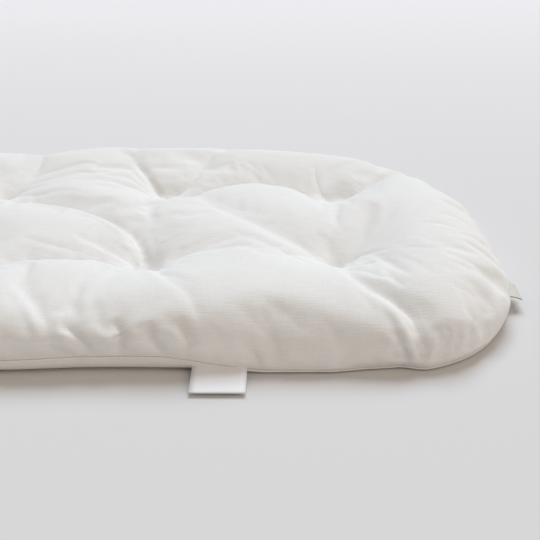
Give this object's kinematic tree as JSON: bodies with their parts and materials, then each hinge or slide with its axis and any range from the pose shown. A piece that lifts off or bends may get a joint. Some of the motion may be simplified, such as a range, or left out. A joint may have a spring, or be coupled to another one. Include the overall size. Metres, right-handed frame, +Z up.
{
  "type": "infant lounger pad",
  "caption": "Tufted cotton pad of an infant lounger: two sewn cloth panels over batting, drawn together by twine ties, with a folded label in the seam.",
  "frame": {"origin": "centre of the flat underside, on the surface that the pad lies on", "axes": "+X along the pad's length, +Y across it away from the labelled side, +Z up"},
  "size_m": [0.7494, 0.3603, 0.0435],
  "materials": {
    "cotton_top": "plain-woven washed cotton, off-white, matt",
    "cotton_bottom": "plain-woven washed cotton, off-white, matt",
    "batting": "loose felted batting, cream",
    "twine": "twisted cotton twine, natural",
    "ribbon": "woven ribbon, blank, faint satin"
  },
  "bodies": {
    "root": {"top_cover": "cotton_top", "bottom_cover": "cotton_bottom", "batting_upper": "batting", "batting_lower": "batting", "tuft_tie_1": "twine", "tuft_tie_2": "twine", "tuft_tie_3": "twine", "tuft_tie_4": "twine", "tuft_tie_5": "twine", "tuft_tie_6": "twine", "tuft_tie_7": "twine", "tuft_tie_8": "twine", "tuft_tie_9": "twine", "tuft_tie_10": "twine", "woven_label": "ribbon", "end_tag": "ribbon"}
  },
  "joints": []
}
